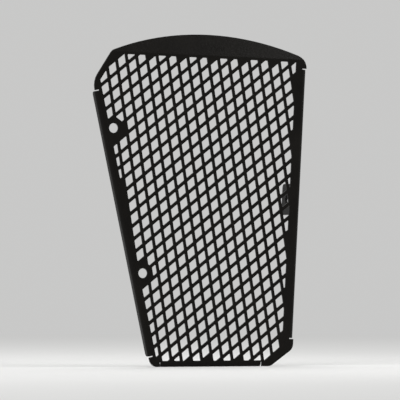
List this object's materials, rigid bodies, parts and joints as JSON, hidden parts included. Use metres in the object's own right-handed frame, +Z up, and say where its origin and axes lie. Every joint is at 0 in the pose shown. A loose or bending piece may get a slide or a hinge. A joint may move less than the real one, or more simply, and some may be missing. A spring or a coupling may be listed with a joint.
{
  "type": "motorcycle radiator guard",
  "caption": "Black folded-sheet radiator guard with a punched diamond grille, an arched header folded back, stiffening edges and fixing holes.",
  "frame": {"origin": "centre of the upper fixing hole, on the back of the face sheet", "axes": "+X inwards from the outer edge to the fork, +Y back towards the radiator, +Z up"},
  "size_m": [0.1304, 0.024, 0.1895],
  "materials": {
    "powder_coat": "satin black powder coat on steel sheet"
  },
  "bodies": {
    "root": {"guard_panel": "powder_coat"}
  },
  "joints": []
}
